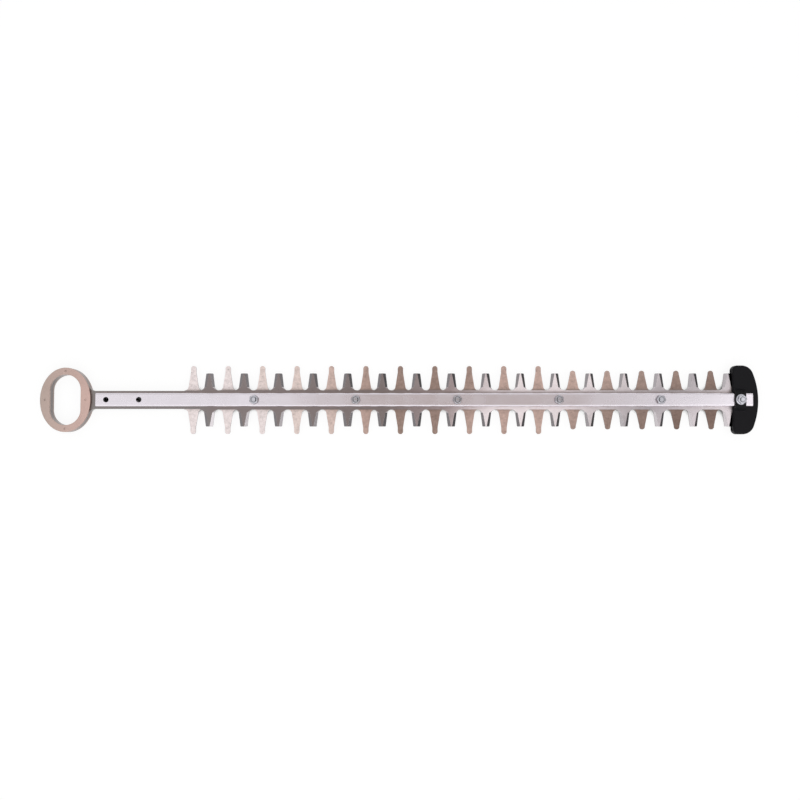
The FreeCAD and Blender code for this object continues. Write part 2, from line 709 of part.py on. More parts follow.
def tip_guard():
    """A moulded shell round the upper blade's tip, with a channel for the bar and a strap over it."""
    body = new_body("tip_guard", GUARD_START)
    half = cell.guard_width / 2
    base = cell.head_height
    floor_top = UPPER_Z - cell.guard_gap
    roof = UPPER_TOP + cell.guard_gap
    roof_top = roof + cell.guard_roof
    bolt_x = TIP_BOLT_X - GUARD_START
    outline = new_sketch(body, "outline", lift=base)
    guard_outline(outline, ZERO, cell.guard_length, half, cell.guard_bow)
    pad(outline, roof_top - base)
    soften(body, "back_corners", "Fillet", "Radius", cell.guard_back_corner,
           lambda e: upright(e) and close(e.CenterOfMass.x, 0))
    soften(body, "front_corners", "Fillet", "Radius", cell.guard_front_corner,
           lambda e: upright(e) and close(abs(e.CenterOfMass.y), half.value)
           and e.CenterOfMass.x > cell.guard_length.value / 2)
    soften(body, "rims", "Fillet", "Radius", cell.guard_edge,
           lambda e: close(e.BoundBox.ZLength, 0))
    strap = new_sketch(body, "strap", "YZ_Plane", lift=bolt_x - cell.strap_length / 2)
    foot = cell.strap_foot / 2
    top = cell.strap_top / 2
    polygon(strap, [(-foot, roof), (foot, roof), (foot, roof_top), (top, STRAP_TOP),
                    (-top, STRAP_TOP), (-foot, roof_top)])
    pad(strap, cell.strap_length)
    soften(body, "strap_edges", "Fillet", "Radius", cell.strap_edge,
           lambda e: close(e.CenterOfMass.z, STRAP_TOP.value) and close(e.BoundBox.ZLength, 0))
    cavity = new_sketch(body, "cavity", lift=floor_top)
    guard_outline(cavity, measure(-OVERRUN), cell.guard_length - cell.guard_wall,
                  half - cell.guard_wall, cell.guard_bow - cell.guard_wall)
    pocket_up(cavity, roof - floor_top)
    channel = new_sketch(body, "channel", lift=roof - OVERRUN)
    rectangle(channel, measure(-OVERRUN), BAR_END - GUARD_START + cell.bar_clear,
              cell.bar_width / 2 + cell.bar_clear)
    pocket_up(channel, BAR_TOP - roof + OVERRUN)
    boss = new_sketch(body, "boss", lift=floor_top)
    circle(boss, bolt_x, ZERO, cell.sleeve_outer)
    pad(boss, BAR_Z - floor_top)
    hole = new_sketch(body, "hole", lift=base)
    circle(hole, bolt_x, ZERO, cell.bolt_hole)
    pocket_up(hole, STRAP_TOP - base)
    return body


def build():
    """All pieces, each a body with its own label and place."""
    bodies = [guide_bar()]
    to_tip_bolt = TIP_BOLT_X - cell.eye_x
    upper_rows = [Rows("tooth", UPPER_TOOTH, cell.upper_teeth)]
    lower_rows = [Rows("long_tooth", LONG_TOOTH, cell.long_teeth),
                  Rows("stub_tooth", STUB_TOOTH, cell.stub_teeth)]
    bodies.append(blade("upper_blade", UPPER_Z, UPPER_FIRST, upper_rows, face=1, fork=to_tip_bolt))
    bodies.append(blade("lower_blade", LOWER_Z, LOWER_FIRST, lower_rows, face=-1))
    bodies.append(eye_ring("upper_eye_ring", UPPER_TOP, marked_up=True))
    bodies.append(eye_ring("lower_eye_ring", LOWER_Z - cell.ring_thick, marked_up=False))
    sleeve_z = cell.head_height + cell.washer_thick
    bolt_top = BAR_TOP + cell.nut_height + cell.bolt_end
    for k in range(BLADE_BOLTS):
        x = BAR_START + cell.bolt_first + cell.bolt_pitch * k
        number = k + 1
        bodies.append(hex_bolt(f"blade_bolt_{number}", x, bolt_top))
        bodies.append(disc(f"blade_washer_{number}", x, cell.head_height,
                           cell.washer_outer, cell.bolt_hole, cell.washer_thick))
        bodies.append(disc(f"slot_sleeve_{number}", x, sleeve_z,
                           cell.sleeve_outer, cell.bolt_hole, BAR_Z - sleeve_z))
        bodies.append(hex_nut(f"blade_nut_{number}", x, BAR_TOP))
    bodies.append(tip_guard())
    bodies.append(hex_bolt("tip_bolt", TIP_BOLT_X, STRAP_TOP + cell.nut_height + cell.bolt_end))
    bodies.append(hex_nut("tip_nut", TIP_BOLT_X, STRAP_TOP, flanged=True))
    return bodies


def check(bodies):
    """Stops if any object failed or any piece isn't one valid solid."""
    for item in doc.Objects:
        if "Invalid" in item.State or "Error" in item.State:
            raise RuntimeError(f"{item.Name} failed: {item.State}")
    for body in bodies:
        shape = body.Shape
        if shape.isNull() or not shape.isValid() or len(shape.Solids) != 1:
            raise RuntimeError(f"{body.Label} is not one valid solid")


pieces = build()
doc.recompute()
check(pieces)
os.makedirs("parts", exist_ok=True)
for piece in pieces:
    piece.Shape.exportStep(f"parts/{piece.Label}.step")
    print(piece.Label, round(piece.Shape.Volume, 1))
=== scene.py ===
"""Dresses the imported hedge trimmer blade: steels and nylon, threaded fasteners and a white stage."""

import math

import bmesh
import bpy
from bpy.props import FloatProperty, FloatVectorProperty, PointerProperty
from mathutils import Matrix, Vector


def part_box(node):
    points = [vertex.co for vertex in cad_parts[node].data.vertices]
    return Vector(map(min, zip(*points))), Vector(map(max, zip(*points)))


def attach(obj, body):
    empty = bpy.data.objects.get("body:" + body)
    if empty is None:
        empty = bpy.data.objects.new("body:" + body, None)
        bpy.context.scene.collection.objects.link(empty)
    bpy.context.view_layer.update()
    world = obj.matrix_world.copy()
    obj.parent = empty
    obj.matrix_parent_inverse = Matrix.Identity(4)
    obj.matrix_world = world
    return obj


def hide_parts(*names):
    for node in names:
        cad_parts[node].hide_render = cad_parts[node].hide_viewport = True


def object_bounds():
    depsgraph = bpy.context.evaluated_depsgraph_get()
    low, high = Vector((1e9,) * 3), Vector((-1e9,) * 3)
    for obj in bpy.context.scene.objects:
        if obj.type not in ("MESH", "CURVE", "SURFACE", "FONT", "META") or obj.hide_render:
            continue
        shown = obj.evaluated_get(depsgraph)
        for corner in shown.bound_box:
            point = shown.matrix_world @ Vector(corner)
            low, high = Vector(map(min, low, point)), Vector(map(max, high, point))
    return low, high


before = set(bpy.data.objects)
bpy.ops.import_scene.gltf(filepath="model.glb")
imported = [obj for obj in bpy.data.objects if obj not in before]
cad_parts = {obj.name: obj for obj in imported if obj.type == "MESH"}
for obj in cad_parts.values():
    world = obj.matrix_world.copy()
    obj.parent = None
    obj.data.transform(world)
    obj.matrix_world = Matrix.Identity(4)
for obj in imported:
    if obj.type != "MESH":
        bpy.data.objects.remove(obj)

bl_info = {
    "name": "Hedge Trimmer Blade",
    "version": (1, 0, 0),
    "blender": (4, 5, 0),
    "location": "View3D > Sidebar > Trimmer Blade",
    "description": "Gives the trimmer blade its finishes, threaded fasteners and a stage",
    "category": "Object",
}

MM = 0.001
CAD_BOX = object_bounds()

X, Y, Z = range(3)
RING_LOW, RING_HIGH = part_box("upper_eye_ring")
# Height of the plane between the two blades
BLADE_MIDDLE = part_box("upper_blade")[0][2]
FASTENED_PLACES = range(1, 6)

# How metallic the blades' faces are: oxide scatters a part of the light, and the pale band, partly a
# painted reflection, more of it.
OXIDISED = 0.6
PALE_BAND_METALLIC = 0.15

# Lengthways shift of the colour bands, partly temper colour and partly painted reflection, for each
# metre along and each metre across the blade
SKEW = 5.0
# How far the borders of the colour bands wander, in millimetres
WANDER = 12
# How much the scale marks change the shade of each blade
UPPER_MOTTLE = 0.05
LOWER_MOTTLE = 0.2
# A blade's face whose normal is less upright than these is a ground bevel, or a punched side
BEVEL_LIMIT = 0.97
SIDE_LIMIT = 0.3

# White of the floor, its own glow and the light on it together: a little more than full
FLOOR_WHITE = 1.04
FLOOR_GAP = 0.1 * MM

# Radius of a hexagon's chamfer at the end face, as a share of half the width across flats
CONE_SHARE = 0.95
# Chamfer of a bolt's end, in thread depths
END_CHAMFER = 1.3
HEAD_FILLET = 0.25 * MM
BORE_LEAD = 0.35 * MM
FLANGE_EDGE = 0.2 * MM
FLANGE_DISH = 0.35 * MM
# Each nut stopped where it was tight, turned by this much from the one before
NUT_TURN = math.radians(23)
TIP_NUT_TURN = math.radians(12)

# Steps round a hexagon and round a washer or the floor, and rows in one turn of a thread
HEX_STEPS = 72
ROUND_STEPS = 96
ROWS_PER_TURN = 8
# Faces that meet at a larger angle are shaded with a sharp edge
SHARP_ANGLE = math.radians(28)


def linear(hex_code):
    """The linear colour of an sRGB hex value."""
    channels = [int(hex_code[i:i + 2], 16) / 255 for i in (0, 2, 4)]
    return tuple(c / 12.92 if c <= 0.04045 else ((c + 0.055) / 1.055) ** 2.4 for c in channels)


def per_metre(millimetres):
    """How often a pattern of this size repeats in a metre."""
    return 1000 / millimetres


# Settings

class TrimmerFinish(bpy.types.PropertyGroup):
    """Colours of the steels and of the nylon."""

    bar: FloatVectorProperty(
        name="Bar", description="Nickel plate of the guide bar",
        default=linear("E4DEE5"), subtype="COLOR", min=0, max=1)
    shank: FloatVectorProperty(
        name="Shank", description="Blades between eye and teeth, as rolled",
        default=linear("8C8685"), subtype="COLOR", min=0, max=1)
    # Colour of the blades' sides: partly the punched finish, partly painted shade.
    side_finish_and_shade: FloatVectorProperty(
        name="Cut side", description="Sides of the blades, as punched",
        default=linear("6E6664"), subtype="COLOR", min=0, max=1)
    # The blade tints below are partly temper colour and partly painted reflection of the studio light;
    # the palest stand most for painted reflection.
    upper_dark: FloatVectorProperty(
        name="Upper blade, drive end", description="Tempered steel of the upper blade's first teeth",
        default=linear("8E8382"), subtype="COLOR", min=0, max=1)
    upper_mid: FloatVectorProperty(
        name="Upper blade, border", description="Tempered steel next to the freshly ground teeth",
        default=linear("B4A5A6"), subtype="COLOR", min=0, max=1)
    upper_pale: FloatVectorProperty(
        name="Upper blade, middle", description="Freshly ground steel of the upper blade",
        default=linear("FFF4F6"), subtype="COLOR", min=0, max=1)
    upper_dull: FloatVectorProperty(
        name="Upper blade, dull", description="Duller steel between the middle and the tip end",
        default=linear("BAB3B7"), subtype="COLOR", min=0, max=1)
    upper_tip: FloatVectorProperty(
        name="Upper blade, tip end", description="Ground steel of the upper blade's last teeth",
        default=linear("E0D7DB"), subtype="COLOR", min=0, max=1)
    lower_pale: FloatVectorProperty(
        name="Lower blade, drive end", description="Pale steel of the lower blade's first teeth",
        default=linear("F8ECEB"), subtype="COLOR", min=0, max=1)
    lower_pink: FloatVectorProperty(
        name="Lower blade, pink", description="Faint temper colour next to the pale teeth",
        default=linear("F3E2DC"), subtype="COLOR", min=0, max=1)
    lower_straw: FloatVectorProperty(
        name="Lower blade, straw", description="Straw temper colour of the lower blade",
        default=linear("D6BAB0"), subtype="COLOR", min=0, max=1)
    lower_brown: FloatVectorProperty(
        name="Lower blade, brown", description="Brown temper colour of the lower blade",
        default=linear("AE968C"), subtype="COLOR", min=0, max=1)
    lower_deep: FloatVectorProperty(
        name="Lower blade, tip end", description="Deep brown temper colour of the last teeth",
        default=linear("846E65"), subtype="COLOR", min=0, max=1)
    ground_edge: FloatVectorProperty(
        name="Ground edge", description="Bare steel of the cutting bevels",
        default=linear("C8C2C5"), subtype="COLOR", min=0, max=1)
    # Colour of the painted shade on the blades beside the bar and the eye.
    painted_shade_tint: FloatVectorProperty(
        name="Oil film", description="Dust and oil on the blades beside the bar",
        default=linear("9A8C88"), subtype="COLOR", min=0, max=1)
    ring_far: FloatVectorProperty(
        name="Ring, far side", description="Sintered steel of the eye rings away from the bar",
        default=linear("C4B1A8"), subtype="COLOR", min=0, max=1)
    ring_near: FloatVectorProperty(
        name="Ring, near side", description="Sintered steel of the eye rings beside the bar",
        default=linear("DBBBB2"), subtype="COLOR", min=0, max=1)
    zinc: FloatVectorProperty(
        name="Zinc", description="Bright zinc plate of the fasteners",
        default=linear("D0D0D8"), subtype="COLOR", min=0, max=1)
    nylon: FloatVectorProperty(
        name="Nylon", description="Black nylon of the tip guard",
        default=linear("121115"), subtype="COLOR", min=0, max=1)


class TrimmerFasteners(bpy.types.PropertyGroup):
    """Sizes of the fasteners' fine form."""

    bolt_radius: FloatProperty(
        name="Bolt radius", description="Radius of an M5 bolt over its thread",
        default=2.45 * MM, unit="LENGTH", subtype="DISTANCE", precision=5)
    nut_bore: FloatProperty(
        name="Nut bore", description="Radius of the nuts' bore",
        default=2.5 * MM, unit="LENGTH", subtype="DISTANCE", precision=5)
    washer_bore: FloatProperty(
        name="Washer bore", description="Radius of the washers' bore",
        default=2.6 * MM, unit="LENGTH", subtype="DISTANCE", precision=5)
    thread_pitch: FloatProperty(
        name="Thread pitch", description="Advance of the thread in one turn, as on an M5 bolt",
        default=0.8 * MM, unit="LENGTH", subtype="DISTANCE", precision=5)
    thread_depth: FloatProperty(
        name="Thread depth", description="Height of the thread from root to crest",
        default=0.45 * MM, unit="LENGTH", subtype="DISTANCE", precision=5)
    thread_length: FloatProperty(
        name="Thread length", description="Threaded part of each bolt",
        default=9 * MM, unit="LENGTH", subtype="DISTANCE", precision=5)
    head_height: FloatProperty(
        name="Head height", description="Height of the bolts' hexagon heads",
        default=3.5 * MM, unit="LENGTH", subtype="DISTANCE", precision=5)
    flange_height: FloatProperty(
        name="Flange height", description="Height of the tip nut's flange at its rim",
        default=0.7 * MM, unit="LENGTH", subtype="DISTANCE", precision=5)
    chamfer_angle: FloatProperty(
        name="Chamfer angle", description="Slope of the cone that cuts a hexagon's corners",
        default=math.radians(30), unit="ROTATION", subtype="ANGLE")
    washer_edge: FloatProperty(
        name="Washer edge", description="Rounding of a stamped washer's edges",
        default=0.3 * MM, unit="LENGTH", subtype="DISTANCE", precision=5)


class TrimmerStage(bpy.types.PropertyGroup):
    """Camera, floor and studio light."""

    camera_distance: FloatProperty(
        name="Camera distance", description="From the camera to the middle of the blade",
        default=0.9, unit="LENGTH", subtype="DISTANCE")
    camera_aside: FloatProperty(
        name="Camera aside", description="How far the camera stands from the middle towards the tip",
        default=0.7 * MM, unit="LENGTH", subtype="DISTANCE", precision=5)
    camera_tilt: FloatProperty(
        name="Camera tilt", description="How far the camera leans from straight above",
        default=math.radians(2.5), unit="ROTATION", subtype="ANGLE")
    frame_width: FloatProperty(
        name="Frame width", description="Width of the picture at the blade",
        default=0.8116, unit="LENGTH", subtype="DISTANCE")
    sky: FloatProperty(
        name="Sky", description="Strength of the white tent round the stage", default=0.82, min=0, max=1)
    floor_glow: FloatProperty(
        name="Floor glow", description="Share of the floor's white that needs no light", default=0.9,
        min=0, max=1, subtype="FACTOR")
    paper_radius: FloatProperty(
        name="Paper radius", description="From the blade to the paper wall round the floor",
        default=30.0, unit="LENGTH", subtype="DISTANCE")
    paper_height: FloatProperty(
        name="Paper height", description="Height of the paper wall",
        default=12.0, unit="LENGTH", subtype="DISTANCE")
    flag_height: FloatProperty(
        name="Flag height", description="Height of the grey cards beyond both ends of the blade",
        default=1.02, unit="LENGTH", subtype="DISTANCE")
    upper_flag_height: FloatProperty(
        name="Upper flag height", description="Height of the cards that stand on the grey cards' halves",
        default=1.6, unit="LENGTH", subtype="DISTANCE")
    flag_distance: FloatProperty(
        name="Flag distance", description="From the blade's middle to the grey cards",
        default=1.6, unit="LENGTH", subtype="DISTANCE")
    card_height: FloatProperty(
        name="Card height", description="Height of the level cards over the camera",
        default=1.3, unit="LENGTH", subtype="DISTANCE")


# Meshes

def hexagon_radius(angle, half_flats):
    """From the axis to the side of a hexagon that has a corner on the X axis."""
    return half_flats / math.cos(angle % (math.pi / 3) - math.pi / 6)


def turned_mesh(name, rows, steps, closed):
    """A mesh of quads between rows, each a function of the angle that gives radius and height.

    A closed section joins its last row to its first; an open one gets a flat cap at both ends.
    """
    form = bmesh.new()
    angles = [2 * math.pi * k / steps for k in range(steps)]
    rings = []
    for row in rows:
        ring = []
        for angle in angles:
            radius, height = row(angle)
            ring.append(form.verts.new((radius * math.cos(angle), radius * math.sin(angle), height)))
        rings.append(ring)
    pairs = list(zip(rings, rings[1:]))
    if closed:
        pairs.append((rings[-1], rings[0]))
    else:
        form.faces.new(reversed(rings[0]))
        form.faces.new(rings[-1])
    for below, above in pairs:
        for k in range(steps):
            after = (k + 1) % steps
            form.faces.new((below[k], below[after], above[after], above[k]))
    bmesh.ops.recalc_face_normals(form, faces=form.faces)
    for face in form.faces:
        face.smooth = True
    for edge in form.edges:
        edge.smooth = edge.calc_face_angle(0) < SHARP_ANGLE
    mesh = bpy.data.meshes.new(name)
    form.to_mesh(mesh)
    form.free()
    return mesh


def level(radius, height):
    """A round row."""
    return lambda angle: (radius, height)


def hexagon_rim(half_flats, cone_radius, height, slope):
    """The row where a cone cuts a hexagon's sides; a negative slope cuts the lower end."""
    def row(angle):
        radius = hexagon_radius(angle, half_flats)
        return radius, height - (radius - cone_radius) * slope
    return row


def threaded_row(crest, depth, pitch, height, top):
    """A row across a V thread that ends in a chamfer at the top."""
    def row(angle):
        phase = (height / pitch - angle / (2 * math.pi)) % 1
        valley = 1 - abs(2 * phase - 1)
        return min(crest - depth * valley, crest - depth * END_CHAMFER + top - height), height
    return row


def bolt_mesh(name, sizes, half_flats, length):
    """A hexagon-head bolt that stands on its head, with a threaded end."""
    slope = math.tan(sizes.chamfer_angle)
    cone = CONE_SHARE * half_flats
    radius = sizes.bolt_radius
    head = sizes.head_height
    thread_start = length - sizes.thread_length
    rows = [
        level(cone, 0),
        hexagon_rim(half_flats, cone, 0, -slope),
        lambda angle: (hexagon_radius(angle, half_flats), head),
        level(radius + HEAD_FILLET, head),
        level(radius, head + HEAD_FILLET),
        level(radius, thread_start - sizes.thread_pitch),
    ]
    count = round(sizes.thread_length / sizes.thread_pitch * ROWS_PER_TURN)
    for k in range(count + 1):
        height = thread_start + sizes.thread_length * k / count
        fade = min(1, k / ROWS_PER_TURN)
        rows.append(threaded_row(radius, sizes.thread_depth * fade, sizes.thread_pitch, height, length))
    return turned_mesh(name, rows, HEX_STEPS, closed=False)


def nut_mesh(name, sizes, half_flats, height, flange=0):
    """A chamfered hexagon nut, on a dished flange where a radius is given for one."""
    slope = math.tan(sizes.chamfer_angle)
    cone = CONE_SHARE * half_flats
    bore = sizes.nut_bore
    if flange:
        rim = sizes.flange_height
        rows = [
            level(flange - FLANGE_EDGE, 0),
            level(flange, FLANGE_EDGE),
            level(flange, rim - FLANGE_EDGE),
            level(flange - FLANGE_EDGE, rim),
            lambda angle: (hexagon_radius(angle, half_flats), rim + FLANGE_DISH),
        ]
    else:
        rows = [level(cone, 0), hexagon_rim(half_flats, cone, 0, -slope)]
    rows += [
        hexagon_rim(half_flats, cone, height, slope),
        level(cone, height),
        level(bore + BORE_LEAD, height),
        level(bore, height - BORE_LEAD),
        level(bore, BORE_LEAD),
        level(bore + BORE_LEAD, 0),
    ]
    return turned_mesh(name, rows, HEX_STEPS, closed=True)


def washer_mesh(name, sizes, outer, thick):
    """A flat washer whose four edges are rounded."""
    inner = sizes.washer_bore
    edge = sizes.washer_edge
    rows = []
    corners = ((outer - edge, edge, -90), (outer - edge, thick - edge, 0),
               (inner + edge, thick - edge, 90), (inner + edge, edge, 180))
    for radius, height, start in corners:
        for turn in (0, 30, 60, 90):
            angle = math.radians(start + turn)
            rows.append(level(radius + edge * math.cos(angle), height + edge * math.sin(angle)))
    return turned_mesh(name, rows, ROUND_STEPS, closed=True)


def place(name, mesh, node, material, turn=0):
    """Puts a piece where its CAD node stands, riding on the bar in the node's stead."""
    low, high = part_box(node)
    piece = bpy.data.objects.new(name, mesh)
    bpy.context.collection.objects.link(piece)
    piece.location = ((low[0] + high[0]) / 2, (low[1] + high[1]) / 2, low[2])
    piece.rotation_euler.z = turn
    if not mesh.materials:
        mesh.materials.append(material)
    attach(piece, "bar")
    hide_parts(node)


def dress(node, material):
    """Puts a material on every slot of a CAD node."""
    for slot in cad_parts[node].material_slots:
        slot.material = material


def half_width(node, axis):
    """Half of a CAD node's extent along an axis."""
    low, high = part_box(node)
    return (high[axis] - low[axis]) / 2


def rectangle(low, high):
    """The four corners between two opposite ones."""
    return [low, (high[0], low[1]), high, (low[0], high[1])]


# Materials

def new_material(name):
    """An empty node material."""
    material = bpy.data.materials.new(name)
    material.use_nodes = True
    material.node_tree.nodes.clear()
    return material, material.node_tree


def node(tree, kind, inputs=(), **settings):
    """Adds a node; inputs maps sockets to values or to other nodes' outputs.

    The Mix node's sockets go by number, because several share a name: 0 is the share, 2 and 3 are the
    two values, 6 and 7 the two colours, and its output 2 is the mixed colour.
    """
    made = tree.nodes.new(kind)
    for key, value in settings.items():
        setattr(made, key, value)
    for key, value in dict(inputs).items():
        if isinstance(value, bpy.types.NodeSocket):
            tree.links.new(value, made.inputs[key])
        else:
            made.inputs[key].default_value = value
    return made


def opaque(colour):
    """A colour socket's four values."""
    return (*colour, 1.0)


def satin_nickel(finish):
    """Drawn steel bar, nickel plated: soft lengthways streaks, faint handling marks and bright edges."""
    material, tree = new_material("Satin_nickel_plated_steel")
    place_in = node(tree, "ShaderNodeTexCoord").outputs["Object"]
    # The drawing lines are about 0.1 mm apart and are drawn at 0.9 mm so that they show.
    lines_at = node(tree, "ShaderNodeMapping", {
        "Vector": place_in, "Scale": (per_metre(60), per_metre(0.9), per_metre(0.9))}).outputs[0]
    lines = node(tree, "ShaderNodeTexNoise", {"Vector": lines_at, "Scale": 1, "Detail": 3}).outputs[0]
    marks = node(tree, "ShaderNodeTexNoise", {"Vector": place_in, "Scale": per_metre(24), "Detail": 4,
                                              "Roughness": 0.6}).outputs[0]
    shade = node(tree, "ShaderNodeMapRange", {"Value": lines, "From Min": 0.3, "From Max": 0.7,
                                              "To Min": 0.97, "To Max": 1.02}).outputs["Result"]
    streaked = node(tree, "ShaderNodeMix", {0: 1.0, 6: opaque(finish.bar), 7: shade}, data_type="RGBA",
                    blend_type="MULTIPLY").outputs[2]
    # Painted shade: a thin dark line round each nut and beside the guard's strap, where they stand on
    # the bar.
    corner = node(tree, "ShaderNodeAmbientOcclusion", {"Distance": 1.5 * MM}, samples=8).outputs["AO"]
    painted_shade = node(tree, "ShaderNodeMapRange", {"Value": corner, "From Min": 0.5, "From Max": 0.8,
                                             "To Min": 0.5, "To Max": 1.0}).outputs["Result"]
    with_painted_shade = node(tree, "ShaderNodeMix", {0: 1.0, 6: streaked, 7: painted_shade}, data_type="RGBA",
                 blend_type="MULTIPLY").outputs[2]
    roughness = node(tree, "ShaderNodeMapRange", {"Value": marks, "From Min": 0.3, "From Max": 0.7,
                                                  "To Min": 0.2, "To Max": 0.32}).outputs["Result"]
    rounded = node(tree, "ShaderNodeBevel", {"Radius": 0.35 * MM}, samples=4).outputs[0]
    normal = node(tree, "ShaderNodeBump", {"Height": lines, "Strength": 0.03, "Distance": 0.05 * MM,
                                           "Normal": rounded}).outputs[0]
    shader = node(tree, "ShaderNodeBsdfPrincipled", {
        "Base Color": with_painted_shade, "Metallic": 1.0, "Roughness": roughness, "Normal": normal})
    node(tree, "ShaderNodeOutputMaterial", {"Surface": shader.outputs[0]})
    return material


def blade_steel(name, tints, finish, mottle):
    """Hardened blade steel, rolled and ground.

    Colour bands run along the blade, partly temper colour and partly painted reflection; the cutting
    bevels are bare and scratched across the edge, the cut sides are darker, partly as punched and partly
    painted shade, and painted shade darkens the corner beside the bar. Tints are a place along the blade
    in millimetres, the colour there and how metallic the face is.
    """
    material, tree = new_material(name)
    place_in = node(tree, "ShaderNodeTexCoord").outputs["Object"]
    split = node(tree, "ShaderNodeSeparateXYZ", {0: place_in})
    # The colour bands, partly temper colour and partly painted reflection, lie askew, more so towards
    # the tip, and their borders wander by a few millimetres.
    skew = node(tree, "ShaderNodeMath", {0: split.outputs["X"], 1: split.outputs["Y"]},
                operation="MULTIPLY").outputs[0]
    band = node(tree, "ShaderNodeMath", {0: skew, 1: -SKEW, 2: split.outputs["X"]},
                operation="MULTIPLY_ADD").outputs[0]
    wander = node(tree, "ShaderNodeTexNoise", {"Vector": place_in, "Scale": per_metre(18),
                                               "Detail": 3}).outputs[0]
    strayed = node(tree, "ShaderNodeMath", {0: wander, 1: WANDER * MM, 2: band},
                   operation="MULTIPLY_ADD").outputs[0]
    start = tints[0][0]
    length = tints[-1][0] - start
    share = node(tree, "ShaderNodeMapRange", {
        "Value": strayed, "From Min": (start + WANDER / 2) * MM,
        "From Max": (start + length + WANDER / 2) * MM}).outputs["Result"]
    ramp = node(tree, "ShaderNodeValToRGB", {0: share})
    stops = ramp.color_ramp.elements
    while len(stops) < len(tints):
        stops.new(1.0)
    for stop, (where, colour, metal) in zip(stops, tints):
        stop.position = (where - start) / length
        stop.color = (*colour, metal)
    # Scale marks, about 3 mm across, from hardening and wiping.
    scale_marks = node(tree, "ShaderNodeTexNoise", {
        "Vector": place_in, "Scale": per_metre(3), "Detail": 5, "Roughness": 0.75}).outputs[0]
    mottled = node(tree, "ShaderNodeMapRange", {"Value": scale_marks, "From Min": 0.35, "From Max": 0.65,
                                                "To Min": 1 - mottle, "To Max": 1 + mottle * 0.6}
                   ).outputs["Result"]
    face = node(tree, "ShaderNodeMix", {0: 1.0, 6: ramp.outputs[0], 7: mottled}, data_type="RGBA",
                blend_type="MULTIPLY").outputs[2]
    facing = node(tree, "ShaderNodeNewGeometry").outputs["True Normal"]
    upright = node(tree, "ShaderNodeSeparateXYZ", {0: facing}).outputs["Z"]
    steep = node(tree, "ShaderNodeMath", {0: upright}, operation="ABSOLUTE").outputs[0]
    sloped = node(tree, "ShaderNodeMath", {0: steep, 1: BEVEL_LIMIT}, operation="LESS_THAN").outputs[0]
    edged = node(tree, "ShaderNodeMix", {0: sloped, 6: face, 7: opaque(finish.ground_edge)},
                 data_type="RGBA").outputs[2]
    # The sides are darker: partly as punched, partly painted shade.
    cut = node(tree, "ShaderNodeMath", {0: steep, 1: SIDE_LIMIT}, operation="LESS_THAN").outputs[0]
    sided = node(tree, "ShaderNodeMix", {0: cut, 6: edged, 7: opaque(finish.side_finish_and_shade)},
                 data_type="RGBA").outputs[2]
    # Grinding lines lie across the edge and are drawn at 0.5 mm so that they show.
    lines_at = node(tree, "ShaderNodeMapping", {
        "Vector": place_in, "Scale": (per_metre(9), per_metre(0.5), per_metre(0.5))}).outputs[0]
    lines = node(tree, "ShaderNodeTexNoise", {"Vector": lines_at, "Scale": 1, "Detail": 2}).outputs[0]
    # Painted shade: the faces within about 2 mm of the bar and beside the eye are darkened, most on the
    # far side, where the bar's shadow falls.
    corner = node(tree, "ShaderNodeAmbientOcclusion", {"Distance": 5 * MM}, samples=8).outputs["AO"]
    far_side_shade_depth = node(tree, "ShaderNodeMapRange", {"Value": split.outputs["Y"], "From Min": -8 * MM,
                                                 "From Max": 8 * MM, "To Min": 0.1, "To Max": 0.85}
                    ).outputs["Result"]
    painted_shade = node(tree, "ShaderNodeMapRange", {"Value": corner, "From Min": 0.55, "From Max": 0.85,
                                             "To Min": far_side_shade_depth, "To Max": 0.0}).outputs["Result"]
    with_painted_shade = node(tree, "ShaderNodeMix", {0: painted_shade, 6: sided, 7: opaque(finish.painted_shade_tint)},
                 data_type="RGBA").outputs[2]
    dull = node(tree, "ShaderNodeMapRange", {"Value": scale_marks, "From Min": 0.3, "From Max": 0.7,
                                             "To Min": 0.26, "To Max": 0.42}).outputs["Result"]
    roughness = node(tree, "ShaderNodeMix", {0: sloped, 2: dull, 3: 0.2}).outputs[0]
    metal = node(tree, "ShaderNodeMix", {0: sloped, 2: ramp.outputs["Alpha"], 3: 1.0}).outputs[0]
    rounded = node(tree, "ShaderNodeBevel", {"Radius": 0.2 * MM}, samples=4).outputs[0]
    normal = node(tree, "ShaderNodeBump", {"Height": lines, "Strength": 0.15, "Distance": 0.05 * MM,
                                           "Normal": rounded}).outputs[0]
    shader = node(tree, "ShaderNodeBsdfPrincipled", {
        "Base Color": with_painted_shade, "Metallic": metal, "Roughness": roughness, "Specular IOR Level": 0.3,
        "Normal": normal})
    node(tree, "ShaderNodeOutputMaterial", {"Surface": shader.outputs[0]})
    return material


def oxidised(*stops):
    """Places along a blade and the colours there, with how metallic an oxidised face is."""
    return [(where, colour, OXIDISED) for where, colour in stops]


